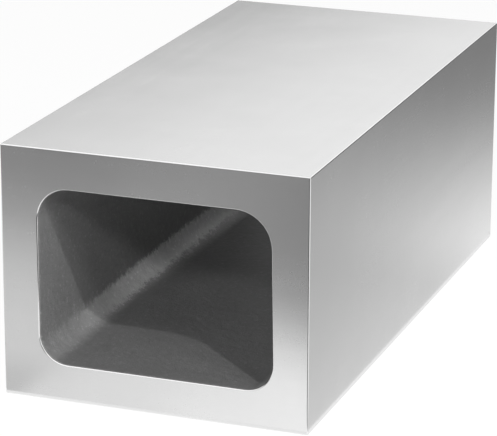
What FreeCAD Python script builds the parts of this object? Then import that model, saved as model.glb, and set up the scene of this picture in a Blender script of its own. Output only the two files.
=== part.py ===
# Hollow fixture block: one grey-iron casting, ground square on all six sides, with a cored
# hollow left as cast that runs right through it.
#
# Frame: the origin is the middle of the base, X is the width, Y the length, Z is up.
# The hollow runs along Y. The end at -Y is the one that the sizes of the hollow were read from.

import FreeCAD
import Part
import Sketcher
import math
import os

NODE = "hollow_block"
PARTS_FOLDER = "parts"

# Driving dimensions: alias, value in millimetres (degrees for right_lean), what it is.
# Each corner of the core has a radius of its own, because the core was made by hand.
SIZES = [
    ("block_width", 125.0, "across the ground sides"),
    ("block_height", 101.5, "from the base to the top face"),
    ("block_length", 260.0, "between the two ground ends"),
    ("left_wall", 15.1, "thickness of the wall at -X"),
    ("right_wall", 14.8, "thickness of the wall at +X, at half height"),
    ("floor_wall", 15.0, "thickness of the wall below the hollow"),
    ("roof_wall", 15.8, "thickness of the wall above the hollow"),
    ("right_lean", 1.0, "how far the right inner side leans in towards the top, degrees"),
    ("radius_top_left", 12.8, "fillet where the roof meets the left wall"),
    ("radius_top_right", 14.3, "fillet where the roof meets the right wall"),
    ("radius_floor_right", 11.2, "fillet where the floor meets the right wall"),
    ("radius_floor_left", 11.5, "fillet where the floor meets the left wall"),
    ("edge_break", 0.5, "bevel on the twelve outer edges"),
    ("mouth_break", 0.5, "bevel round the mouth of the hollow at both ends"),
]

# How a sketch's constraints name a curve's end points, and the sketch's own origin.
START = 1
END = 2
ORIGIN_POINT = (-1, 1)

UPRIGHT = 90  # degrees, from the sketch's x
NEAR = 1e-4  # millimetres: two lengths closer than this are the same
SAME_VOLUME = 1e-4  # share of a volume by which it may miss what was expected


def make_sheet(doc):
    """The driving dimensions, one row each, with the alias that the features read."""
    sheet = doc.addObject("Spreadsheet::Sheet", "sizes")
    for row, (alias, value, meaning) in enumerate(SIZES, start=1):
        sheet.set(f"A{row}", alias)
        sheet.set(f"B{row}", str(value))
        sheet.set(f"C{row}", meaning)
        sheet.setAlias(f"B{row}", alias)
    doc.recompute()
    return sheet


def origin_plane(body, role):
    """One of the body's own origin planes, found by its role."""
    for feature in body.Origin.OriginFeatures:
        if feature.Role == role:
            return feature
    raise RuntimeError(f"{body.Label} has no origin feature {role}")


def end_view_sketch(body, name):
    """A sketch in the upright plane across the block: its x is X and its y is Z."""
    sketch = body.newObject("Sketcher::SketchObject", name)
    sketch.AttachmentSupport = [(origin_plane(body, "XZ_Plane"), "")]
    sketch.MapMode = "FlatFace"
    return sketch


def straight(x_from, z_from, x_to, z_to):
    """A line of a sketch, near where its constraints will hold it."""
    return Part.LineSegment(FreeCAD.Vector(x_from, z_from, 0), FreeCAD.Vector(x_to, z_to, 0))


def dimension(sketch, name, constraint, formula):
    """Adds a named constraint and ties its value to the sheet."""
    index = sketch.addConstraint(constraint)
    sketch.renameConstraint(index, name)
    sketch.setExpression(f"Constraints.{name}", formula)


def join_loop(sketch, pieces, kind):
    """Joins each piece's end to the next one's start, all the way round."""
    for here, following in zip(pieces, pieces[1:] + pieces[:1]):
        sketch.addConstraint(Sketcher.Constraint(kind, here, END, following, START))


def fully_held(sketch):
    """Raises unless the constraints leave the sketch no freedom."""
    if sketch.solve() != 0:
        raise RuntimeError(f"{sketch.Label} can't be solved")
    if not sketch.FullyConstrained:
        raise RuntimeError(f"{sketch.Label} isn't fully constrained")


def draw_outline(body, sheet):
    """The ground outside: a rectangle that stands on the base, centred on the width."""
    sketch = end_view_sketch(body, "outline")
    half = sheet.block_width / 2
    high = sheet.block_height
    base, right, top, left = sketch.addGeometry([
        straight(-half, 0, half, 0),
        straight(half, 0, half, high),
        straight(half, high, -half, high),
        straight(-half, high, -half, 0),
    ])
    join_loop(sketch, [base, right, top, left], "Coincident")
    for side in (right, left):
        sketch.addConstraint(Sketcher.Constraint("Vertical", side))
    for side in (base, top):
        sketch.addConstraint(Sketcher.Constraint("Horizontal", side))
    sketch.addConstraint(Sketcher.Constraint("Symmetric", base, START, base, END, *ORIGIN_POINT))
    width = Sketcher.Constraint("DistanceX", base, START, base, END, sheet.block_width)
    dimension(sketch, "width", width, "sizes.block_width")
    height = Sketcher.Constraint("DistanceY", right, START, right, END, sheet.block_height)
    dimension(sketch, "height", height, "sizes.block_height")
    fully_held(sketch)
    return sketch


def corner(centre_x, centre_z, radius, quarter):
    """A quarter turn of the core's outline; quarter 0 starts at the right and turns up."""
    circle = Part.Circle(FreeCAD.Vector(centre_x, centre_z, 0), FreeCAD.Vector(0, 0, 1), radius)
    quarter_turn = math.pi / 2
    return Part.ArcOfCircle(circle, quarter * quarter_turn, (quarter + 1) * quarter_turn)


def draw_core(body, sheet):
    """The core that left the hollow: four sides, a fillet at each corner, the right side leaning."""
    sketch = end_view_sketch(body, "core")
    left = -sheet.block_width / 2 + sheet.left_wall
    right = sheet.block_width / 2 - sheet.right_wall
    low = sheet.floor_wall
    high = sheet.block_height - sheet.roof_wall
    top_left = sheet.radius_top_left
    top_right = sheet.radius_top_right
    low_right = sheet.radius_floor_right
    low_left = sheet.radius_floor_left

    floor, fillet_low_right, right_side, fillet_top_right = sketch.addGeometry([
        straight(left + low_left, low, right - low_right, low),
        corner(right - low_right, low + low_right, low_right, 3),
        straight(right, low + low_right, right, high - top_right),
        corner(right - top_right, high - top_right, top_right, 0),
    ])
    roof, fillet_top_left, left_side, fillet_low_left = sketch.addGeometry([
        straight(right - top_right, high, left + top_left, high),
        corner(left + top_left, high - top_left, top_left, 1),
        straight(left, high - top_left, left, low + low_left),
        corner(left + low_left, low + low_left, low_left, 2),
    ])
    join_loop(sketch, [
        floor, fillet_low_right, right_side, fillet_top_right,
        roof, fillet_top_left, left_side, fillet_low_left,
    ], "Tangent")
    sketch.addConstraint(Sketcher.Constraint("Horizontal", floor))
    sketch.addConstraint(Sketcher.Constraint("Horizontal", roof))
    sketch.addConstraint(Sketcher.Constraint("Vertical", left_side))

    for name, fillet, radius in (
        ("radius_top_left", fillet_top_left, top_left),
        ("radius_top_right", fillet_top_right, top_right),
        ("radius_floor_right", fillet_low_right, low_right),
        ("radius_floor_left", fillet_low_left, low_left),
    ):
        dimension(sketch, name, Sketcher.Constraint("Radius", fillet, radius), f"sizes.{name}")

    floor_level = Sketcher.Constraint("DistanceY", *ORIGIN_POINT, floor, START, low)
    dimension(sketch, "floor_level", floor_level, "sizes.floor_wall")
    roof_level = Sketcher.Constraint("DistanceY", *ORIGIN_POINT, roof, START, high)
    dimension(sketch, "roof_level", roof_level, "sizes.block_height - sizes.roof_wall")
    left_reach = Sketcher.Constraint("DistanceX", left_side, START, *ORIGIN_POINT, -left)
    dimension(sketch, "left_reach", left_reach, "sizes.block_width / 2 - sizes.left_wall")

    # The right wall's thickness is held at half height, where a mark rides on the leaning side.
    mark = sketch.addGeometry(Part.Point(FreeCAD.Vector(right, sheet.block_height / 2, 0)), True)
    sketch.addConstraint(Sketcher.Constraint("PointOnObject", mark, START, right_side))
    mark_level = Sketcher.Constraint("DistanceY", *ORIGIN_POINT, mark, START, sheet.block_height / 2)
    dimension(sketch, "mark_level", mark_level, "sizes.block_height / 2")
    right_reach = Sketcher.Constraint("DistanceX", *ORIGIN_POINT, mark, START, right)
    dimension(sketch, "right_reach", right_reach, "sizes.block_width / 2 - sizes.right_wall")
    lean = Sketcher.Constraint("Angle", right_side, math.radians(UPRIGHT + sheet.right_lean))
    dimension(sketch, "lean", lean, f"{UPRIGHT} + sizes.right_lean")
    fully_held(sketch)
    return sketch


def mouth_edges(shape, sheet):
    """The names of the edges round both mouths: in an end face's plane, and off its border."""
    half_length = sheet.block_length / 2
    face_right = sheet.block_width / 2 - sheet.edge_break
    face_low = sheet.edge_break
    face_high = sheet.block_height - sheet.edge_break
    names = []
    for number, edge in enumerate(shape.Edges, start=1):
        box = edge.BoundBox
        in_end_face = box.YLength < NEAR and abs(abs(box.YMin) - half_length) < NEAR
        off_sides = -face_right + NEAR < box.XMin and box.XMax < face_right - NEAR
        off_top_and_base = face_low + NEAR < box.ZMin and box.ZMax < face_high - NEAR
        if in_end_face and off_sides and off_top_and_base:
            names.append(f"Edge{number}")
    return names


def expect(volume, wanted, what):
    """Raises if a feature took another volume than it should."""
    if abs(volume - wanted) > SAME_VOLUME * wanted:
        raise RuntimeError(f"{what}: {volume:.1f} mm3, where {wanted:.1f} was expected")


def build_block(doc, sheet):
    """The casting: the ground outside, the cored hollow and the broken edges."""
    body = doc.addObject("PartDesign::Body", NODE)
    body.Label = NODE
    body.Placement = FreeCAD.Placement(FreeCAD.Vector(0, 0, 0), FreeCAD.Rotation())

    outline = draw_outline(body, sheet)
    blank = body.newObject("PartDesign::Pad", "blank")
    blank.Profile = outline
    blank.SideType = "Symmetric"
    blank.setExpression("Length", "sizes.block_length")
    doc.recompute()

    outer_break = body.newObject("PartDesign::Chamfer", "outer_break")
    outer_break.Base = (blank, [f"Edge{n}" for n in range(1, len(blank.Shape.Edges) + 1)])
    outer_break.setExpression("Size", "sizes.edge_break")
    doc.recompute()

    core = draw_core(body, sheet)
    hollow = body.newObject("PartDesign::Pocket", "hollow")
    hollow.Profile = core
    hollow.SideType = "Symmetric"
    hollow.Type = "ThroughAll"
    doc.recompute()
    core_area = Part.Face(core.Shape.Wires[0]).Area
    cut = outer_break.Shape.Volume - hollow.Shape.Volume
    expect(cut, core_area * sheet.block_length, "the hollow")

    mouth_break = body.newObject("PartDesign::Chamfer", "mouth_break")
    mouth_break.Base = (hollow, mouth_edges(hollow.Shape, sheet))
    mouth_break.setExpression("Size", "sizes.mouth_break")
    doc.recompute()
    return body


def check(doc, bodies):
    """Every feature computed, and every sub-part a single valid solid."""
    for item in doc.Objects:
        for bad in ("Invalid", "Error"):
            if bad in item.State:
                raise RuntimeError(f"{item.Label} is {item.State}")
    for body in bodies:
        if body.Shape.isNull() or not body.Shape.isValid():
            raise RuntimeError(f"{body.Label} has no valid shape")
        if len(body.Shape.Solids) != 1:
            raise RuntimeError(f"{body.Label} is {len(body.Shape.Solids)} solids, where one was cast")


def main():
    doc = FreeCAD.newDocument("fixture_block")
    sheet = make_sheet(doc)
    bodies = [build_block(doc, sheet)]
    doc.recompute()
    check(doc, bodies)
    os.makedirs(PARTS_FOLDER, exist_ok=True)
    for body in bodies:
        body.Shape.exportStep(os.path.join(PARTS_FOLDER, f"{body.Label}.step"))
        box = body.Shape.BoundBox
        print(f"{body.Label}: {box.XLength:.2f} x {box.YLength:.2f} x {box.ZLength:.2f} mm,"
              f" {body.Shape.Volume / 1000:.1f} cm3")


main()
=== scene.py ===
"""Hollow fixture block: the finish of a ground iron casting with a cored hollow left as cast.

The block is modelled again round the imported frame, at the same sizes, so that the hollow can have
the uneven skin that the moulding sand left. Lengths are in metres, the origin is the middle of
the base, X is the width, Y the length and Z is up.
"""

import math

import bmesh
import bpy
from mathutils import Matrix, Vector


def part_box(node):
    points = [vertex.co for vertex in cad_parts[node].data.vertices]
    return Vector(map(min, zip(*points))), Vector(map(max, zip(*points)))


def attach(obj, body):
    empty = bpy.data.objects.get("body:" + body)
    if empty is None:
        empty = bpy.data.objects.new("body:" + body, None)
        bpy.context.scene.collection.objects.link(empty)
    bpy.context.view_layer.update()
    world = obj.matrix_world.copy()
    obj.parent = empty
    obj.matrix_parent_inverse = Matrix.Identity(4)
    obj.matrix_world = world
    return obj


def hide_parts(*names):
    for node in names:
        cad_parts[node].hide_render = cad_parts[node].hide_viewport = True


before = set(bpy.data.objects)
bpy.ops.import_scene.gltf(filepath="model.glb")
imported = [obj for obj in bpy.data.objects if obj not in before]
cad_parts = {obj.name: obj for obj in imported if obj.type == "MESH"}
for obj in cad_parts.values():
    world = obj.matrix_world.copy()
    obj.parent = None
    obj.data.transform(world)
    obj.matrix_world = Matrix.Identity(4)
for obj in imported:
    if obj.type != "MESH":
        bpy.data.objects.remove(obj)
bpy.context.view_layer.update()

bl_info = {
    "name": "Hollow Fixture Block",
    "version": (1, 0, 0),
    "blender": (4, 5, 0),
    "location": "View3D > Sidebar > Fixture Block",
    "description": "Models a ground iron block with a cored hollow, and a plain studio round it",
    "category": "Object",
}

NODE = "hollow_block"
PIECE = "hollow_block_casting"
NODE_LOW, NODE_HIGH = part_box(NODE)
NODE_SIZE = NODE_HIGH - NODE_LOW
HALF_WIDTH = NODE_SIZE.x / 2
HALF_LENGTH = NODE_SIZE.y / 2

NEAR = 1e-6  # two lengths closer than this are the same
CORNER_STEPS = 14  # faces round each fillet of the hollow
EDGE_STEPS = 4  # faces across each broken edge
MOST_CUTS = 100  # that one subdivision takes
FLAT_ANGLE = math.radians(10)  # a face turned further than this from every axis is an edge's
EDGE_SLOT = 1  # the material slots of the broken edges and of the hollow, after the ground faces
SKIN_SLOT = 2
SKIN_GROUP = "skin"
BURNT_GROUP = "burnt_sand"
RELIEF_DETAIL = 2  # finer layers in the noise that moves the skin

WHITE = (1.0, 1.0, 1.0)

# The patterns of the ground faces. WIDTH is how wide a pattern is, and DRAWN_OUT is the factor on
# the way along the stroke. TONE and ROUGH are how much it changes the colour and the roughness.
# BUMP is its height in metres and its strength. LOW is what the patterns are added to, and
# SMOOTHER is what is taken off the roughness before they are.
GROUND_TONE_LOW = 0.92
GROUND_SMOOTHER = 0.06
MARK_DRAWN_OUT = 0.012
MARK_TONE = 0.02
MARK_ROUGH = 0.015
MARK_BUMP = (0.00002, 0.15)
PASS_WIDTH = 0.006
PASS_DRAWN_OUT = 0.05
PASS_ROUGH = 0.05
CLOUD_WIDTH = 0.035
CLOUD_TONE = 0.1
CLOUD_ROUGH = 0.06
MOTTLE_WIDTH = 0.0045
MOTTLE_TONE = 0.04
FLAKE_WIDTH = 0.0007
FLAKE_STOPS = [(0.6, 0), (0.72, 1)]
FLAKE_TONE = 0.02
FLAKE_ROUGH = 0.02

# The patterns of the broken edges, named in the same way.
EDGE_TONE_LOW = 0.88
EDGE_ROUGH_LOW = 0.08
STROKE_WIDTH = 0.0011
STROKE_TONE = 0.12
STROKE_ROUGH = 0.08
STROKE_BUMP = (0.00004, 0.2)
WEAR_WIDTH = 0.012
WEAR_TONE = 0.1

# The patterns of the cast skin. RAGGED is how far one moves the border of the painted highlight.
SKIN_METALLIC = 0.1
SKIN_TONE_LOW = 0.56
SKIN_SMOOTHER = 0.08
PATCH_WIDTH = 0.028
PATCH_TONE = 0.25
PATCH_ROUGH = 0.08
LUMP_TONE = 0.4
LUMP_RAGGED = 0.38
LUMP_BUMP = (0.0006, 0.4)
SAND_WIDTH = 0.0008
SAND_TONE = 0.2
SAND_ROUGH = 0.12
SAND_RAGGED = 0.3
SAND_BUMP = (0.0003, 0.4)
SPECK_WIDTH = 0.0013
SPECK_STOPS = [(0.62, 0), (0.74, 1)]
SPECK_TONE = 0.45

# Where the skin changes: the first number of a pair is where a change starts, and the second is
# how wide it is. The first pair is by depth in the hollow, the others by how far a place faces up.
# All but the two FLOOR_DARKER numbers shape a highlight painted into the skin's colour along the
# lower fillets, strongest deep in the hollow.
HIGHLIGHT_DEEP = (0.015, 0.09)
HIGHLIGHT_WALL_SIDE = (0.2, 0.2)
HIGHLIGHT_FLOOR_SIDE = (0.76, 0.14)
HIGHLIGHT_DULLER = (0.3, 0.4)
FLOOR_DARKER = (0.85, 0.14)
HIGHLIGHT_CREEP = 0.12  # how much further up the walls the painted highlight reaches deep in the hollow
HIGHLIGHT_SHALLOW = 0.12  # how much the painted highlight lightens the skin at the mouths
HIGHLIGHT_DEEP_BY = 1.42  # and how much more deep in the hollow
HIGHLIGHT_BRIGHTEST = 1.06  # how bright it is on its wall side
HIGHLIGHT_DULLER_BY = 0.2  # and how much less on its floor side
FLOOR_DARKER_BY = 0.3

FLOOR_WHITENED = 0.9  # share of the floor's look that is plain white
FLOOR_WHITE = 1.04  # so that the floor is white between its shadows
FLOOR_SIDE = 16.0


class BlockSizes(bpy.types.PropertyGroup):
    """The casting's sizes."""

    width: bpy.props.FloatProperty(
        name="Width", description="Across the ground sides", default=NODE_SIZE.x, unit="LENGTH")
    length: bpy.props.FloatProperty(
        name="Length", description="Between the ground ends", default=NODE_SIZE.y, unit="LENGTH")
    height: bpy.props.FloatProperty(
        name="Height", description="From the base to the top", default=NODE_SIZE.z, unit="LENGTH")
    left_wall: bpy.props.FloatProperty(
        name="Left wall", description="Thickness of the wall at -X", default=0.0151, unit="LENGTH")
    right_wall: bpy.props.FloatProperty(
        name="Right wall", description="Thickness of the wall at +X, at half height",
        default=0.0148, unit="LENGTH")
    floor_wall: bpy.props.FloatProperty(
        name="Floor", description="Thickness below the hollow", default=0.015, unit="LENGTH")
    roof_wall: bpy.props.FloatProperty(
        name="Roof", description="Thickness above the hollow", default=0.0158, unit="LENGTH")
    right_lean: bpy.props.FloatProperty(
        name="Right lean", description="Lean of the right inner side towards the top",
        default=math.radians(1.0), subtype="ANGLE")
    radius_top_left: bpy.props.FloatProperty(
        name="Top left fillet", description="Roof to left wall", default=0.0128, unit="LENGTH")
    radius_top_right: bpy.props.FloatProperty(
        name="Top right fillet", description="Roof to right wall", default=0.0143, unit="LENGTH")
    radius_floor_right: bpy.props.FloatProperty(
        name="Floor right fillet", description="Floor to right wall", default=0.0112, unit="LENGTH")
    radius_floor_left: bpy.props.FloatProperty(
        name="Floor left fillet", description="Floor to left wall", default=0.0115, unit="LENGTH")
    edge_break: bpy.props.FloatProperty(
        name="Edge break", description="Rounding of the outer edges", default=0.0005, unit="LENGTH")
    mouth_break: bpy.props.FloatProperty(
        name="Mouth break", description="Bevel round both mouths", default=0.0005, unit="LENGTH")


class CastSkin(bpy.types.PropertyGroup):
    """The skin that the sand core left in the hollow."""

    tone: bpy.props.FloatVectorProperty(
        name="Tone", description="Colour of the skin", default=(0.19, 0.19, 0.19), subtype="COLOR")
    wave_size: bpy.props.FloatProperty(
        name="Wave size", description="Width of the core's unevenness", default=0.016, unit="LENGTH")
    wave_depth: bpy.props.FloatProperty(
        name="Wave depth", description="Height of the core's unevenness", default=0.0004,
        unit="LENGTH")
    grain_size: bpy.props.FloatProperty(
        name="Grain size", description="Width of a lump of sand", default=0.0026, unit="LENGTH")
    grain_depth: bpy.props.FloatProperty(
        name="Grain depth", description="Height of a lump of sand", default=0.00014, unit="LENGTH")
    burnt_size: bpy.props.FloatProperty(
        name="Burnt size", description="Width of a lump of burnt sand", default=0.004, unit="LENGTH")
    burnt_depth: bpy.props.FloatProperty(
        name="Burnt depth", description="Height of a lump of burnt sand", default=0.0006,
        unit="LENGTH")
    fade: bpy.props.FloatProperty(
        name="Fade", description="Distance from a mouth in which the skin gets its full relief",
        default=0.004, unit="LENGTH")
    roughness: bpy.props.FloatProperty(
        name="Roughness", description="Of the skin", default=0.46, subtype="FACTOR")


class GroundFinish(bpy.types.PropertyGroup):
    """The ground outer faces and their broken edges."""

    tone: bpy.props.FloatVectorProperty(
        name="Tone", description="Colour of the ground iron", default=(0.78, 0.78, 0.78),
        subtype="COLOR")
    edge_tone: bpy.props.FloatVectorProperty(
        name="Edge tone", description="Colour of the broken edges", default=(0.86, 0.86, 0.86),
        subtype="COLOR")
    roughness: bpy.props.FloatProperty(
        name="Roughness", description="Of the ground faces", default=0.25, subtype="FACTOR")
    mark_pitch: bpy.props.FloatProperty(
        name="Mark pitch", description="Distance between grinding marks", default=0.0004,
        unit="LENGTH")


class Studio(bpy.types.PropertyGroup):
    """The floor, the tones of the graded cards, the daylight and the lamps."""

    floor_tone: bpy.props.FloatVectorProperty(
        name="Floor", description="Colour of the floor", default=(0.88, 0.88, 0.88),
        subtype="COLOR")
    paper_start: bpy.props.FloatProperty(
        name="Paper start", description="From the block's middle to where the paper starts",
        default=0.13, unit="LENGTH")
    end_dark: bpy.props.FloatProperty(
        name="End dark", description="Tone past the paper, which the ends mirror", default=0.24)
    side_dark: bpy.props.FloatProperty(
        name="Side dark", description="Tone that the upper part of the sides mirrors", default=0.415)
    room_dark: bpy.props.FloatProperty(
        name="Room dark", description="Tone of the room low down, where it is dark", default=0.06)
    hung_dark: bpy.props.FloatProperty(
        name="Hung dark", description="Tone at the lower left of the card that the top mirrors",
        default=0.37)
    daylight: bpy.props.FloatProperty(
        name="Daylight", description="Strength of the light from all round", default=0.086)
    key_power: bpy.props.FloatProperty(
        name="Key", description="Power of the small lamp at the right", default=10.0,
        unit="POWER")
    near_power: bpy.props.FloatProperty(
        name="Near lamp", description="Power of the lamp above the camera", default=9.1,
        unit="POWER")
    side_power: bpy.props.FloatProperty(
        name="Side lamp", description="Power of the soft lamp at the right", default=4.6,
        unit="POWER")
    low_power: bpy.props.FloatProperty(
        name="Low lamp", description="Power of the broad low lamp in front", default=27.0,
        unit="POWER")


class Wire:
    """A socket of a tree's nodes. Sums, differences, products and powers add their Math nodes."""

    def __init__(self, bench, socket):
        self.bench = bench
        self.socket = socket

    def math(self, operation, first, second):
        """Adds a Math node for two operands, each a wire or a number."""
        return self.bench.make("ShaderNodeMath", {"operation": operation}, {0: first, 1: second})

    def __add__(self, other):
        return self.math("ADD", self, other)

    def __sub__(self, other):
        return self.math("SUBTRACT", self, other)

    def __rsub__(self, other):
        return self.math("SUBTRACT", other, self)

    def __mul__(self, other):
        return self.math("MULTIPLY", self, other)

    def __pow__(self, other):
        return self.math("POWER", self, other)

    __radd__ = __add__
    __rmul__ = __mul__


class Bench:
    """Where the nodes of one material or world are made."""

    def __init__(self, owner):
        owner.use_nodes = True
        self.tree = owner.node_tree
        self.tree.nodes.clear()

    def make(self, kind, settings=None, sockets=None, output=0):
        """Adds a node: its settings first, then each socket's value or wire. Gives one output."""
        node = self.tree.nodes.new(kind)
        for name, value in (settings or {}).items():
            if name == "stops":
                self.set_stops(node, value)
            else:
                setattr(node, name, value)
        for key, value in (sockets or {}).items():
            if isinstance(value, Wire):
                self.tree.links.new(value.socket, node.inputs[key])
            else:
                node.inputs[key].default_value = value
        return Wire(self, node.outputs[output]) if node.outputs else None

    def set_stops(self, ramp, stops):
        """A ramp's stops, each a place and a grey."""
        elements = ramp.color_ramp.elements
        while len(elements) > 1:
            elements.remove(elements[-1])
        elements[0].position = stops[0][0]
        for place, _ in stops[1:]:
            elements.new(place)
        for element, (_, grey) in zip(elements, stops):
            element.color = (grey, grey, grey, 1)

    def place(self):
        """The point of the piece, in its own frame."""
        return self.make("ShaderNodeTexCoord", output="Object")

    def stretched(self, point, scale):
        """The point with each axis multiplied, so that a pattern is drawn out along some."""
        return self.make("ShaderNodeMapping", {"vector_type": "POINT"}, {0: point, "Scale": scale})

    def noise(self, point, size, detail=2.0, rough=0.5):
        """Noise from 0 to 1 whose lumps are about this wide."""
        values = {"Vector": point, "Scale": 1 / size, "Detail": detail, "Roughness": rough}
        return self.make("ShaderNodeTexNoise", {"noise_dimensions": "3D"}, values)

    def ramp(self, value, stops):
        """A value read off a ramp of greys."""
        return self.make("ShaderNodeValToRGB", {"stops": stops}, {0: value})

    def scale_colour(self, colour, value):
        """A colour made lighter or darker by a value round 1."""
        settings = {"operation": "SCALE"}
        return self.make("ShaderNodeVectorMath", settings, {0: colour, "Scale": value})

    def fade(self, value, start, width):
        """0 up to a value, then a smooth rise to 1 over this width."""
        return self.make("ShaderNodeMapRange", {"interpolation_type": "SMOOTHSTEP"}, {
            "Value": value, "From Min": start, "From Max": start + width})

    def bump(self, height, distance, strength, below=None):
        """A normal tilted by a height from 0 to 1, on top of another bump."""
        values = {"Height": height, "Distance": distance, "Strength": strength}
        if below:
            values["Normal"] = below
        return self.make("ShaderNodeBump", {}, values)

    def surface(self, shader, kind="ShaderNodeOutputMaterial"):
        """Ends the tree in its output node."""
        self.make(kind, {}, {"Surface": shader})


def opaque(colour):
    """A property's colour with the fourth number that a socket wants."""
    return (*colour, 1)


def ground_iron(finish):
    """Ground iron: fine marks along the stroke, faint clouds and specks of graphite."""
    material = bpy.data.materials.new("ground_iron")
    bench = Bench(material)
    point = bench.place()

    # The grinder's stroke runs along the block on its four long faces and across it on its ends.
    facing = bench.make("ShaderNodeTexCoord", output="Normal")
    facing_y = bench.make("ShaderNodeSeparateXYZ", {}, {0: facing}, output="Y")
    on_end = bench.make("ShaderNodeMath", {"operation": "ABSOLUTE"}, {0: facing_y})
    marks_along = bench.stretched(point, (1, MARK_DRAWN_OUT, 1))
    marks_across = bench.stretched(point, (MARK_DRAWN_OUT, 1, 1))
    marks = (bench.noise(marks_along, finish.mark_pitch, detail=3) * (1 - on_end)
             + bench.noise(marks_across, finish.mark_pitch, detail=3) * on_end)
    passes_along = bench.stretched(point, (1, PASS_DRAWN_OUT, 1))
    passes_across = bench.stretched(point, (PASS_DRAWN_OUT, 1, 1))
    passes = (bench.noise(passes_along, PASS_WIDTH, detail=1) * (1 - on_end)
              + bench.noise(passes_across, PASS_WIDTH, detail=1) * on_end)

    cloud = bench.noise(point, CLOUD_WIDTH, detail=3)
    mottle = bench.noise(point, MOTTLE_WIDTH, detail=3, rough=0.6)
    flakes = bench.ramp(bench.noise(point, FLAKE_WIDTH, detail=2, rough=0.6), FLAKE_STOPS)

    shade = (GROUND_TONE_LOW + cloud * CLOUD_TONE + mottle * MOTTLE_TONE + marks * MARK_TONE
             - flakes * FLAKE_TONE)
    colour = bench.scale_colour(finish.tone, shade)
    roughness = (finish.roughness - GROUND_SMOOTHER + cloud * CLOUD_ROUGH + passes * PASS_ROUGH
                 + marks * MARK_ROUGH + flakes * FLAKE_ROUGH)
    shader = bench.make("ShaderNodeBsdfPrincipled", {}, {
        "Base Color": colour, "Metallic": 1.0, "Roughness": roughness,
        "Normal": bench.bump(marks, *MARK_BUMP)})
    bench.surface(shader)
    return material


def filed_edge(finish):
    """The broken edges: brighter than the faces, with short strokes of the file."""
    material = bpy.data.materials.new("filed_edge")
    bench = Bench(material)
    point = bench.place()
    strokes = bench.noise(point, STROKE_WIDTH, detail=3, rough=0.6)
    wear = bench.noise(point, WEAR_WIDTH, detail=2)
    shade = EDGE_TONE_LOW + strokes * STROKE_TONE + wear * WEAR_TONE
    colour = bench.scale_colour(finish.edge_tone, shade)
    shader = bench.make("ShaderNodeBsdfPrincipled", {}, {
        "Base Color": colour, "Metallic": 1.0,
        "Roughness": EDGE_ROUGH_LOW + strokes * STROKE_ROUGH,
        "Normal": bench.bump(strokes, *STROKE_BUMP)})
    bench.surface(shader)
    return material


def cast_skin(skin, sizes):
    """The skin left by the sand core: dark, finely speckled, with a painted highlight along its low
    fillets.
    """
    material = bpy.data.materials.new("cast_skin")
    bench = Bench(material)
    point = bench.place()
    patches = bench.noise(point, PATCH_WIDTH, detail=3)
    lumps = bench.noise(point, skin.grain_size, detail=3, rough=0.6)
    sand = bench.noise(point, SAND_WIDTH, detail=2, rough=0.6)
    specks = bench.ramp(bench.noise(point, SPECK_WIDTH, detail=2), SPECK_STOPS)

    # The lift is 0 on the upright walls and 1 on the floor. A highlight painted into the colour lies
    # in between, along the lower fillets, with a ragged border, and it is strongest deep in the
    # hollow.
    facing = bench.make("ShaderNodeTexCoord", output="Normal")
    lift = bench.make("ShaderNodeSeparateXYZ", {}, {0: facing}, output="Z")
    ragged = lift + (lumps - 0.5) * LUMP_RAGGED + (sand - 0.5) * SAND_RAGGED
    along = bench.make("ShaderNodeSeparateXYZ", {}, {0: point}, output="Y")
    from_middle = bench.make("ShaderNodeMath", {"operation": "ABSOLUTE"}, {0: along})
    deep = bench.fade(sizes.length / 2 - from_middle, *HIGHLIGHT_DEEP)
    wall_side = bench.fade(ragged + deep * HIGHLIGHT_CREEP, *HIGHLIGHT_WALL_SIDE)
    band = wall_side * (1 - bench.fade(ragged, *HIGHLIGHT_FLOOR_SIDE))
    bright = HIGHLIGHT_BRIGHTEST - bench.fade(lift, *HIGHLIGHT_DULLER) * HIGHLIGHT_DULLER_BY
    # How much the painted highlight lightens the skin here.
    fillet_lumps_and_highlight = band * (HIGHLIGHT_SHALLOW + deep * HIGHLIGHT_DEEP_BY) * bright

    shade = (SKIN_TONE_LOW + patches * PATCH_TONE + lumps * LUMP_TONE + sand * SAND_TONE
             + specks * SPECK_TONE)
    shade = shade * (1 - bench.fade(lift, *FLOOR_DARKER) * FLOOR_DARKER_BY)
    colour = bench.scale_colour(skin.tone, shade * (1 + fillet_lumps_and_highlight))
    roughness = skin.roughness - SKIN_SMOOTHER + sand * SAND_ROUGH + patches * PATCH_ROUGH
    coarse = bench.bump(lumps, *LUMP_BUMP)
    fine = bench.bump(sand, *SAND_BUMP, coarse)
    shader = bench.make("ShaderNodeBsdfPrincipled", {}, {
        "Base Color": colour, "Metallic": SKIN_METALLIC, "Roughness": roughness, "Normal": fine})
    bench.surface(shader)
    return material


def pick(kind, wanted):
    """Selects the verts, edges or faces in edit mode that a test wants, and nothing else."""
    bpy.ops.mesh.select_mode(type=kind)
    bpy.ops.mesh.select_all(action="DESELECT")
    mesh = bpy.context.edit_object.data
    shape = bmesh.from_edit_mesh(mesh)
    items = {"VERT": shape.verts, "EDGE": shape.edges, "FACE": shape.faces}[kind]
    found = [item for item in items if wanted(item)]
    for item in found:
        item.select_set(True)
    shape.select_flush_mode()
    bmesh.update_edit_mesh(mesh)
    if not found:
        raise RuntimeError(f"no {kind.lower()} where one was looked for")
    return found


def level(item, axis, value):
    """Whether all of an edge's or face's verts lie at one value of an axis."""
    return all(abs(vert.co[axis] - value) < NEAR for vert in item.verts)


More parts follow.
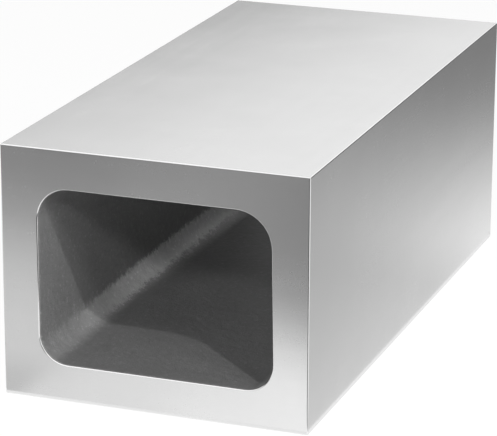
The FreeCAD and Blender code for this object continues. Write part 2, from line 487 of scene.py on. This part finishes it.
def blank_half(sizes):
    """The front half of the ground outside, open where the hollow and the other half come."""
    bpy.ops.mesh.primitive_cube_add(
        size=1, enter_editmode=False,
        location=(0, -sizes.length / 4, sizes.height / 2),
        scale=(sizes.width, sizes.length / 2, sizes.height))
    bpy.context.object.name = PIECE
    bpy.context.object.data.name = PIECE
    bpy.ops.object.transform_apply(location=True, rotation=False, scale=True)
    bpy.ops.object.mode_set(mode="EDIT")
    pick("EDGE", lambda edge: not level(edge, 1, 0))
    bpy.ops.mesh.bevel(offset=sizes.edge_break, segments=EDGE_STEPS, affect="EDGES")
    pick("FACE", lambda face: level(face, 1, 0) or level(face, 1, -sizes.length / 2))
    bpy.ops.mesh.delete(type="ONLY_FACE")


def mouth_corners(sizes, grow):
    """The four corners of the mouth before they are rounded, each with its radius.

    The mouth is larger than the hollow by grow all round. The right side leans about its middle.
    """
    left = -sizes.width / 2 + sizes.left_wall - grow
    right = sizes.width / 2 - sizes.right_wall + grow
    low = sizes.floor_wall - grow
    high = sizes.height - sizes.roof_wall + grow
    slope = math.tan(sizes.right_lean)
    right_low = right + slope * (sizes.height / 2 - low)
    right_high = right - slope * (high - sizes.height / 2)
    return [
        (left, low, sizes.radius_floor_left + grow, 0.0),
        (right_low, low, sizes.radius_floor_right + grow, sizes.right_lean),
        (right_high, high, sizes.radius_top_right + grow, -sizes.right_lean),
        (left, high, sizes.radius_top_left + grow, 0.0),
    ]


def inside_walls(sizes, item):
    """Whether an edge or face lies between the walls' middles, so that it belongs to the hollow."""
    side = sizes.width / 2 - min(sizes.left_wall, sizes.right_wall) / 2
    low = sizes.floor_wall / 2
    high = sizes.height - sizes.roof_wall / 2
    return all(abs(vert.co.x) < side and low < vert.co.z < high for vert in item.verts)


def mouth_outline(sizes, step):
    """Draws the mouth in the front face's plane: a plane, its corners moved and then rounded."""
    front = -sizes.length / 2
    corners = mouth_corners(sizes, sizes.mouth_break)
    middle = Vector((0, front, sizes.height / 2))
    bpy.ops.mesh.primitive_plane_add(size=1, location=middle, rotation=(math.pi / 2, 0, 0))
    mesh = bpy.context.edit_object.data
    plane = [vert for vert in bmesh.from_edit_mesh(mesh).verts if vert.select]
    for x, z, _, _ in corners:
        side = Vector((x, front, z)) - middle
        for vert in plane:
            away = vert.co - middle
            if away.x * side.x > 0 and away.z * side.z > 0:
                vert.co = middle + side
    bmesh.update_edit_mesh(mesh)
    for x, z, radius, lean in corners:
        place = Vector((x, front, z))
        pick("VERT", lambda vert: (vert.co - place).length < NEAR)
        tangent = radius * math.tan(math.pi / 4 + lean / 2)
        bpy.ops.mesh.bevel(
            offset=tangent, offset_type="OFFSET", segments=CORNER_STEPS, profile=0.5,
            affect="VERTICES", clamp_overlap=False)

    # The straight sides are cut as finely as the fillets, so that the skin's relief is even.
    pick("FACE", lambda face: level(face, 1, front))
    bpy.ops.mesh.delete(type="ONLY_FACE")
    while True:
        loose = [edge for edge in bmesh.from_edit_mesh(mesh).edges if edge.is_wire]
        longest = max(edge.calc_length() for edge in loose)
        if longest < 2 * step:
            break
        pick("EDGE", lambda edge: edge.is_wire and edge.calc_length() > longest - NEAR)
        bpy.ops.mesh.subdivide(number_cuts=round(longest / step) - 1)
    pick("EDGE", lambda edge: edge.is_wire)
    bpy.ops.mesh.edge_face_add()


def hollow_half(sizes):
    """The front half of the hollow: the mouth inset for its bevel, then drawn back and cut up."""
    half_length = sizes.length / 2
    step = (half_length - sizes.mouth_break) / (MOST_CUTS + 1)
    mouth_outline(sizes, step)
    bpy.ops.mesh.inset(thickness=sizes.mouth_break, use_boundary=True, use_even_offset=True)
    bpy.ops.transform.translate(value=(0, sizes.mouth_break, 0))
    bpy.ops.mesh.extrude_region_move(
        TRANSFORM_OT_translate={"value": (0, half_length - sizes.mouth_break, 0)})
    bpy.ops.mesh.delete(type="ONLY_FACE")

    start = -half_length + sizes.mouth_break
    pick("EDGE", lambda edge: inside_walls(sizes, edge)
         and sorted(round((vert.co.y - start) / half_length) for vert in edge.verts) == [0, 1])
    bpy.ops.mesh.subdivide(number_cuts=MOST_CUTS)


def end_face(sizes):
    """Fills the front face between its outer border and the mouth."""
    pick("EDGE", lambda edge: edge.is_boundary and level(edge, 1, -sizes.length / 2))
    bpy.ops.mesh.fill(use_beauty=True)


def both_halves(piece):
    """Mirrors the front half to the rear, closes the middle and turns all faces outwards."""
    bpy.ops.object.mode_set(mode="OBJECT")
    bpy.ops.object.modifier_add(type="MIRROR")
    mirror = piece.modifiers[-1]
    mirror.use_axis = (False, True, False)
    mirror.merge_threshold = NEAR
    bpy.ops.object.modifier_apply(modifier=mirror.name)
    bpy.ops.object.mode_set(mode="EDIT")
    bpy.ops.mesh.select_all(action="SELECT")
    bpy.ops.mesh.normals_make_consistent(inside=False)
    open_edges = [
        edge for edge in bmesh.from_edit_mesh(piece.data).edges if not edge.is_manifold]
    if open_edges:
        raise RuntimeError(f"{piece.name} has {len(open_edges)} open edges")


def of_hollow(sizes, face):
    """Whether a face is the cast skin: between the walls, and behind the bevels of the mouths."""
    behind = sizes.length / 2 - sizes.mouth_break + NEAR
    return inside_walls(sizes, face) and all(abs(vert.co.y) < behind for vert in face.verts)


def of_edge(face):
    """Whether a face is not flat on an axis, as those of the broken edges and fillets are."""
    return max(abs(part) for part in face.normal) < math.cos(FLAT_ANGLE)


def finish_faces(piece, sizes, materials):
    """Gives the ground faces, the broken edges and the cast skin their materials and shading."""
    for material in materials:
        piece.data.materials.append(material)
    bpy.ops.mesh.select_mode(type="FACE")
    pick("FACE", lambda face: of_edge(face) and not of_hollow(sizes, face))
    piece.active_material_index = EDGE_SLOT
    bpy.ops.object.material_slot_assign()
    bpy.ops.mesh.faces_shade_smooth()
    pick("FACE", lambda face: of_hollow(sizes, face))
    piece.active_material_index = SKIN_SLOT
    bpy.ops.object.material_slot_assign()
    bpy.ops.mesh.faces_shade_smooth()
    bpy.ops.object.mode_set(mode="OBJECT")


def low_fillets(sizes, place):
    """How far a point of the hollow lies into one of the two lower fillets, from 0 to 1.

    It is 0 where the fillet meets the wall or the floor, and 1 half way between them.
    """
    side = sizes.width / 2 - (sizes.left_wall if place.x < 0 else sizes.right_wall)
    radius = sizes.radius_floor_left if place.x < 0 else sizes.radius_floor_right
    across = abs(place.x) - side + radius
    down = sizes.floor_wall + radius - place.z
    if across <= 0 or down <= 0:
        return 0.0
    return 2 * min(across, down) / math.hypot(across, down) / math.sqrt(2)


def relief_groups(piece, sizes, fade):
    """Groups of the hollow's skin and of its lower fillets, which start at nothing at the mouths."""
    group = piece.vertex_groups.new(name=SKIN_GROUP)
    fillet_lumps_and_highlight = piece.vertex_groups.new(name=BURNT_GROUP)
    skin = {
        index for face in piece.data.polygons if face.material_index == SKIN_SLOT
        for index in face.vertices}
    for index in skin:
        depth = sizes.length / 2 - sizes.mouth_break - abs(piece.data.vertices[index].co.y)
        weight = max(0.0, min(1.0, depth / fade))
        group.add([index], weight, "REPLACE")
        low = low_fillets(sizes, piece.data.vertices[index].co)
        fillet_lumps_and_highlight.add([index], weight * min(1.0, low), "REPLACE")


def relief(piece, name, size, depth, group):
    """Moves the hollow's skin in and out by noise of this width, and keeps the result."""
    clouds = bpy.data.textures.new(name, "CLOUDS")
    clouds.noise_scale = size
    clouds.noise_depth = RELIEF_DETAIL
    clouds.noise_basis = "IMPROVED_PERLIN"
    bpy.ops.object.modifier_add(type="DISPLACE")
    displace = piece.modifiers[-1]
    displace.texture = clouds
    displace.texture_coords = "LOCAL"
    displace.vertex_group = group
    displace.strength = depth
    bpy.ops.object.modifier_apply(modifier=displace.name)


class FIXTURE_OT_casting(bpy.types.Operator):
    """Models the casting: the ground outside, the cored hollow and the broken edges"""

    bl_idname = "fixture.casting"
    bl_label = "Casting"

    def execute(self, context):
        sizes = context.scene.block_sizes
        skin = context.scene.cast_skin
        finish = context.scene.ground_finish
        bpy.ops.object.select_all(action="DESELECT")
        blank_half(sizes)
        piece = context.object
        hollow_half(sizes)
        end_face(sizes)
        both_halves(piece)
        finish_faces(piece, sizes, [ground_iron(finish), filed_edge(finish), cast_skin(skin, sizes)])
        relief_groups(piece, sizes, skin.fade)
        relief(piece, "core_waves", skin.wave_size, skin.wave_depth, SKIN_GROUP)
        relief(piece, "sand_grain", skin.grain_size, skin.grain_depth, SKIN_GROUP)
        relief(piece, "burnt_sand", skin.burnt_size, skin.burnt_depth, BURNT_GROUP)
        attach(piece, "root")
        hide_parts(NODE)
        return {"FINISHED"}


def seen_or_mirrored(bench):
    """1 for rays from the camera and for what metal and glass show, 0 for light on surfaces."""
    camera = bench.make("ShaderNodeLightPath", output="Is Camera Ray")
    glossy = bench.make("ShaderNodeLightPath", output="Is Glossy Ray")
    through = bench.make("ShaderNodeLightPath", output="Is Transmission Ray")
    return bench.make("ShaderNodeMath", {"operation": "MAXIMUM"}, {
        0: bench.make("ShaderNodeMath", {"operation": "MAXIMUM"}, {0: camera, 1: glossy}),
        1: through})


def floor_paper(studio):
    """Pale paper that shows almost white and keeps the block's shadow."""
    material = bpy.data.materials.new("floor_paper")
    bench = Bench(material)
    paper = bench.make("ShaderNodeBsdfDiffuse", {}, {"Color": opaque(studio.floor_tone)})
    white = bench.make("ShaderNodeEmission", {}, {"Color": opaque(WHITE), "Strength": FLOOR_WHITE})
    share = seen_or_mirrored(bench) * FLOOR_WHITENED
    bench.surface(bench.make("ShaderNodeMixShader", {}, {0: share, 1: paper, 2: white}))
    return material


# The tones that the cards have from place to place. The first number of a pair is where a change
# starts, and the second is how wide it is. BY is how much a tone changes there.
PALE_TONE = 1.01  # of the floor beside the block's corners

PAPER_TONE = 0.79  # at the left. It is paler in two steps towards the right.
PAPER_PALER = (-0.075, 0.05)
PAPER_PALER_BY = 0.12
PAPER_PALEST = (-0.03, 0.09)
PAPER_PALEST_BY = 0.19
PAPER_EDGE = (0.072, 0.064)
PAPER_SLANT = math.radians(25)
# The foot is painted shade on the card, where the floor meets the block's lower left.
FOOT_SIDE = (-0.062, 0.012)  # the foot is a patch at the block's lower left
FOOT_FRONT = (-0.045, 0.03)
FOOT_DARKER_BY = 0.17
DARK_PALER = (-0.16, 0.04)
DARK_PALER_BY = 0.038
GLOW_LEFT = (-0.15, 0.05)  # the glow is a patch in the dark past the paper
GLOW_RIGHT = (-0.07, 0.04)
GLOW_BY = 0.115
WEDGE_TONE = 0.02  # the wedge is the dark floor that starts at the block's right corner
WEDGE_LEFT_LEAN = 0.15
WEDGE_LEFT = (0.0, 0.004)
WEDGE_RIGHT_LEAN = 1.25
WEDGE_RIGHT = (-0.002, 0.012)

SIDE_TONE = 0.86
SIDE_PALER = (0.042, 0.095)
SIDE_PALER_BY = 0.3
SIDE_AWAY = (0.0, 0.18)
SIDE_REAR = (0.142, 0.3)
SIDE_REAR_DARKER_BY = 0.48
SIDE_CORNER_LEAN = 0.7
SIDE_CORNER = (0.0, 0.012)

HUNG_SLANT = 2.22
HUNG_PALE = (0.265, 0.11)
HUNG_PALE_TONE = 0.99
HUNG_UPPER = (0.2, 0.1)
HUNG_UPPER_BY = 0.08
HUNG_LEFT = (-0.4, -0.4)  # below 0, because it goes on to the left
HUNG_RIGHT = (0.0, 0.06)
HUNG_RIGHT_BY = 0.12
HUNG_LOW_SLOPE = 0.657  # the dark lower right lies below a line that rises from the block's edge
HUNG_LOW_START = 0.1
HUNG_LOW = (-0.01, 0.02)

ROOM_PALE_WAY = (0.92, -0.39)  # the way to the right front, where the room is pale
ROOM_PALE = (0.65, 0.25)
ROOM_FROM = (0.5, 0.6)  # how far from the block the cards go over to the room
RING_RISE = (0.13, 0.25)

ROOF_TONE = 1.2
ROOF_LEAN = 1.3
ROOF_DARKER = (-0.3, 0.7)
ROOF_DARKER_BY = 0.55
ROOF_RIM = (0.7, 0.5)


def room_shade(bench, studio, x, y):
    """The room low down: dark, but pale towards the right front and the left rear."""
    along = x * ROOM_PALE_WAY[0] + y * ROOM_PALE_WAY[1]
    pale = bench.fade(along * along * (x * x + y * y) ** -1, *ROOM_PALE)
    return studio.room_dark + pale * (1 - studio.room_dark)


def far_fade(bench, studio, x, y, tone):
    """A tone that goes over to the room's shade well away from the block."""
    away = (x * x + y * y) ** 0.5
    return tone + (room_shade(bench, studio, x, y) - tone) * bench.fade(away, *ROOM_FROM)


def end_card_tone(bench, studio, x, y, z):
    """Pale paper before the end of the block, then the dark past the paper's slanting edge.

    A dark wedge starts at the block's right corner, and the floor is pale beside it.
    """
    near = (PAPER_TONE + bench.fade(x, *PAPER_PALER) * PAPER_PALER_BY
            + bench.fade(x, *PAPER_PALEST) * PAPER_PALEST_BY)
    foot = (1 - bench.fade(x, *FOOT_SIDE)) * bench.fade(y + HALF_LENGTH, *FOOT_FRONT)
    near = near * (1 - foot * FOOT_DARKER_BY)
    glow = bench.fade(x, *GLOW_LEFT) * (1 - bench.fade(x, *GLOW_RIGHT))
    dark = studio.end_dark + bench.fade(x, *DARK_PALER) * DARK_PALER_BY + glow * GLOW_BY
    past = x * math.sin(PAPER_SLANT) - (y + studio.paper_start) * math.cos(PAPER_SLANT)
    tone = dark + (near - dark) * (1 - bench.fade(past, *PAPER_EDGE))
    from_side = x - HALF_WIDTH
    from_end = y + HALF_LENGTH
    wedge = bench.fade(from_side - from_end * WEDGE_LEFT_LEAN, *WEDGE_LEFT)
    beside = bench.fade(from_side * WEDGE_RIGHT_LEAN + from_end, *WEDGE_RIGHT)
    tone = tone + (WEDGE_TONE + beside * (PALE_TONE - WEDGE_TONE) - tone) * wedge
    return far_fade(bench, studio, x, y, tone)


def side_card_tone(bench, studio, x, y, z):
    """Grey beside the block: paler towards its far end, darker to the side and behind.

    It is pale before a line that slants from the block's corner.
    """
    near = SIDE_TONE + bench.fade(y, *SIDE_PALER) * SIDE_PALER_BY
    tone = studio.side_dark + (near - studio.side_dark) * (1 - bench.fade(x, *SIDE_AWAY))
    tone = tone * (1 - bench.fade(y, *SIDE_REAR) * SIDE_REAR_DARKER_BY)
    from_corner = (x - HALF_WIDTH) * SIDE_CORNER_LEAN - (y + HALF_LENGTH)
    tone = tone + (PALE_TONE - tone) * bench.fade(from_corner, *SIDE_CORNER)
    return far_fade(bench, studio, x, y, tone)


def rear_card_tone(bench, studio, x, y, z):
    """As before the front end, turned half round."""
    return end_card_tone(bench, studio, x * -1, y * -1, z)


def left_card_tone(bench, studio, x, y, z):
    """As beside the right face, turned half round."""
    return side_card_tone(bench, studio, x * -1, y * -1, z)


def hung_card_tone(bench, studio, x, y, z):
    """Dark at its lower left and lower right, pale past a slanting line and well to the left."""
    upper = HUNG_PALE_TONE + bench.fade(z, *HUNG_UPPER) * HUNG_UPPER_BY
    pale = bench.fade(x + z * HUNG_SLANT, *HUNG_PALE) * upper
    tone = studio.hung_dark + pale * (1 - studio.hung_dark)
    tone = tone + (1 - tone) * bench.fade(x, *HUNG_LEFT)
    tone = tone + bench.fade(x, *HUNG_RIGHT) * HUNG_RIGHT_BY
    below = (x - HALF_WIDTH) * HUNG_LOW_SLOPE - (z - HUNG_LOW_START)
    return tone + (studio.room_dark - tone) * bench.fade(below, *HUNG_LOW)


def room_tone(bench, studio, x, y, z):
    """The room low down, all round."""
    return room_shade(bench, studio, x, y)


def ring_tone(bench, studio, x, y, z):
    """The room's shade at the top face's height, and white soon above it."""
    shade = room_shade(bench, studio, x, y)
    return shade + bench.fade(z, *RING_RISE) * (1 - shade)


def roof_tone(bench, studio, x, y, z):
    """Pale, but darker towards the rear right, so that the top has a gradient from above too."""
    away = (x * x + y * y) ** 0.5
    darker = bench.fade(x * ROOF_LEAN + y, *ROOF_DARKER) * (1 - bench.fade(away, *ROOF_RIM))
    return ROOF_TONE - darker * ROOF_DARKER_BY


def card_board(name, studio, tone):
    """The material of a graded card or wall, whose tone is worked out from the place on it."""
    material = bpy.data.materials.new(name)
    bench = Bench(material)
    point = bench.place()
    x, y, z = (
        bench.make("ShaderNodeSeparateXYZ", {}, {0: point}, output=axis) for axis in "XYZ")
    shade = bench.scale_colour(WHITE, tone(bench, studio, x, y, z))
    bench.surface(bench.make("ShaderNodeEmission", {}, {"Color": shade}))
    return material


def studio_world(context, studio):
    """White where it is seen or mirrored, and a level of daylight on everything else."""
    world = bpy.data.worlds.new("studio")
    context.scene.world = world
    bench = Bench(world)
    strength = seen_or_mirrored(bench) * (1 - studio.daylight) + studio.daylight
    sky = bench.make("ShaderNodeBackground", {}, {"Color": opaque(WHITE), "Strength": strength})
    bench.surface(sky, "ShaderNodeOutputWorld")


CARD_GAP = 0.001  # from the floor, and from the block's faces, to the cards that lie low
SIDE_CLEAR = HALF_WIDTH + CARD_GAP
END_CLEAR = HALF_LENGTH + CARD_GAP
FAR_SIDE = 5.0
FAR_END = 7.0

# The graded cards that only the metal mirrors: the lowest and highest corner of each.
CARDS = {
    "end_card": (
        Vector((-FAR_SIDE, -FAR_END, CARD_GAP)), Vector((FAR_SIDE, -END_CLEAR, CARD_GAP)),
        end_card_tone),
    "side_card": (
        Vector((SIDE_CLEAR, -END_CLEAR, CARD_GAP)), Vector((FAR_SIDE, FAR_END, CARD_GAP)),
        side_card_tone),
    "rear_card": (
        Vector((-FAR_SIDE, END_CLEAR, CARD_GAP)), Vector((SIDE_CLEAR, FAR_END, CARD_GAP)),
        rear_card_tone),
    "left_card": (
        Vector((-FAR_SIDE, -END_CLEAR, CARD_GAP)), Vector((-SIDE_CLEAR, END_CLEAR, CARD_GAP)),
        left_card_tone),
    "hung_card": (Vector((-1.5, 0.5, 0.105)), Vector((1.5, 0.5, 0.6)), hung_card_tone),
    "roof_card": (Vector((-1.2, -1.2, 1.2)), Vector((1.2, 1.2, 1.2)), roof_tone),
}

# The round walls that only the metal mirrors: the radius, lower and upper end of each.
WALLS = {
    "room_wall": (4.0, 0.0, 0.6, room_tone),
    "ring_wall": (0.75, 0.105, 0.6, ring_tone),
}

# The lamps: the property with its power, the width, and the azimuth and elevation in degrees.
LAMPS = {
    "key_lamp": ("key_power", 0.04, 47.5, 45.0),
    "near_lamp": ("near_power", 0.12, 20.0, 29.5),
    "side_lamp": ("side_power", 0.25, 60.0, 30.0),
    "low_lamp": ("low_power", 0.8, -2.0, 10.0),
}
MOUTH = Vector((0, -0.13, 0.05))  # what the lamps are turned to
LAMP_DISTANCE = 1.5

# The camera: the point of the front face that it looks at, its distance in metres, its direction
# and roll in degrees, and its lens and sensor in millimetres.
AIM = Vector((0.03837, -0.13, 0.0833))
CAMERA_DISTANCE = 0.9965
CAMERA_AZIMUTH = 20.095
CAMERA_ELEVATION = 17.599
CAMERA_ROLL = 0.249
CAMERA_LENS = 195.125
CAMERA_SENSOR = 36.0


def towards(azimuth, elevation):
    """The direction from the block to a lamp or camera: azimuth is turned right of -Y."""
    turn = math.radians(azimuth)
    rise = math.radians(elevation)
    return Vector((
        math.sin(turn) * math.cos(rise), -math.cos(turn) * math.cos(rise), math.sin(rise)))


def add_lamp(name, power, size, azimuth, elevation):
    """A lamp that lights the mouth from a direction. It isn't seen, and the metal mirrors none."""
    direction = towards(azimuth, elevation)
    turn = (-direction).to_track_quat("-Z", "Y").to_euler()
    bpy.ops.object.light_add(type="AREA", location=MOUTH + direction * LAMP_DISTANCE, rotation=turn)
    lamp = bpy.context.object
    lamp.name = name
    lamp.data.shape = "DISK"
    lamp.data.size = size
    lamp.data.energy = power
    lamp.visible_camera = False
    lamp.visible_glossy = False


def add_card(name, low, high, material):
    """A card that lies level or stands across Y."""
    size = high - low
    bpy.ops.mesh.primitive_plane_add(
        size=1, location=(low + high) / 2, rotation=(0 if size.y else math.pi / 2, 0, 0))
    bpy.ops.transform.resize(value=[side or 1 for side in size])
    bpy.ops.object.transform_apply(location=True, rotation=True, scale=True)
    only_mirrored(name, material)


def only_mirrored(name, material):
    """Names the new card or wall, and lets only mirroring rays meet it."""
    card = bpy.context.object
    card.name = name
    card.data.materials.append(material)
    card.visible_camera = False
    card.visible_diffuse = False
    card.visible_transmission = False
    card.visible_shadow = False


class FIXTURE_OT_stage(bpy.types.Operator):
    """Sets up the pale floor, the graded cards and walls, the lamps and the camera"""

    bl_idname = "fixture.stage"
    bl_label = "Stage"

    def execute(self, context):
        studio = context.scene.studio
        bpy.ops.object.select_all(action="DESELECT")
        bpy.ops.mesh.primitive_plane_add(size=FLOOR_SIDE)
        floor = context.object
        floor.name = "floor"
        floor.data.materials.append(floor_paper(studio))
        for name, (low, high, tone) in CARDS.items():
            add_card(name, low, high, card_board(name, studio, tone))
        for name, (radius, low, high, tone) in WALLS.items():
            bpy.ops.mesh.primitive_cylinder_add(
                radius=radius, depth=high - low, end_fill_type="NOTHING",
                location=(0, 0, (low + high) / 2))
            bpy.ops.object.transform_apply(location=True, rotation=False, scale=False)
            only_mirrored(name, card_board(name, studio, tone))
        for name, (power, size, azimuth, elevation) in LAMPS.items():
            add_lamp(name, getattr(studio, power), size, azimuth, elevation)
        studio_world(context, studio)

        away = towards(CAMERA_AZIMUTH, CAMERA_ELEVATION)
        look = (-away).to_track_quat("-Z", "Y").to_matrix()
        roll = Matrix.Rotation(math.radians(CAMERA_ROLL), 3, "Z")
        bpy.ops.object.camera_add(
            location=AIM + away * CAMERA_DISTANCE, rotation=(look @ roll).to_euler())
        camera = context.object
        camera.data.lens = CAMERA_LENS
        camera.data.sensor_width = CAMERA_SENSOR
        context.scene.camera = camera
        context.scene.view_settings.view_transform = "Standard"
        return {"FINISHED"}


class FIXTURE_PT_sidebar(bpy.types.Panel):
    """The block's sizes and finishes, and the steps that build it"""

    bl_label = "Fixture Block"
    bl_space_type = "VIEW_3D"
    bl_region_type = "UI"
    bl_category = "Fixture Block"

    def draw(self, context):
        for group in (context.scene.block_sizes, context.scene.ground_finish,
                      context.scene.cast_skin, context.scene.studio):
            box = self.layout.box()
            for name in group.bl_rna.properties.keys():
                if name not in ("rna_type", "name"):
                    box.prop(group, name)
        self.layout.operator(FIXTURE_OT_casting.bl_idname)
        self.layout.operator(FIXTURE_OT_stage.bl_idname)


CLASSES = (
    BlockSizes, CastSkin, GroundFinish, Studio,
    FIXTURE_OT_casting, FIXTURE_OT_stage, FIXTURE_PT_sidebar,
)


def register():
    for cls in CLASSES:
        bpy.utils.register_class(cls)
    bpy.types.Scene.block_sizes = bpy.props.PointerProperty(type=BlockSizes)
    bpy.types.Scene.cast_skin = bpy.props.PointerProperty(type=CastSkin)
    bpy.types.Scene.ground_finish = bpy.props.PointerProperty(type=GroundFinish)
    bpy.types.Scene.studio = bpy.props.PointerProperty(type=Studio)


def unregister():
    for name in ("block_sizes", "cast_skin", "ground_finish", "studio"):
        delattr(bpy.types.Scene, name)
    for cls in reversed(CLASSES):
        bpy.utils.unregister_class(cls)


def main():
    register()
    bpy.ops.fixture.casting()
    bpy.ops.fixture.stage()


if __name__ == "__main__":
    main()
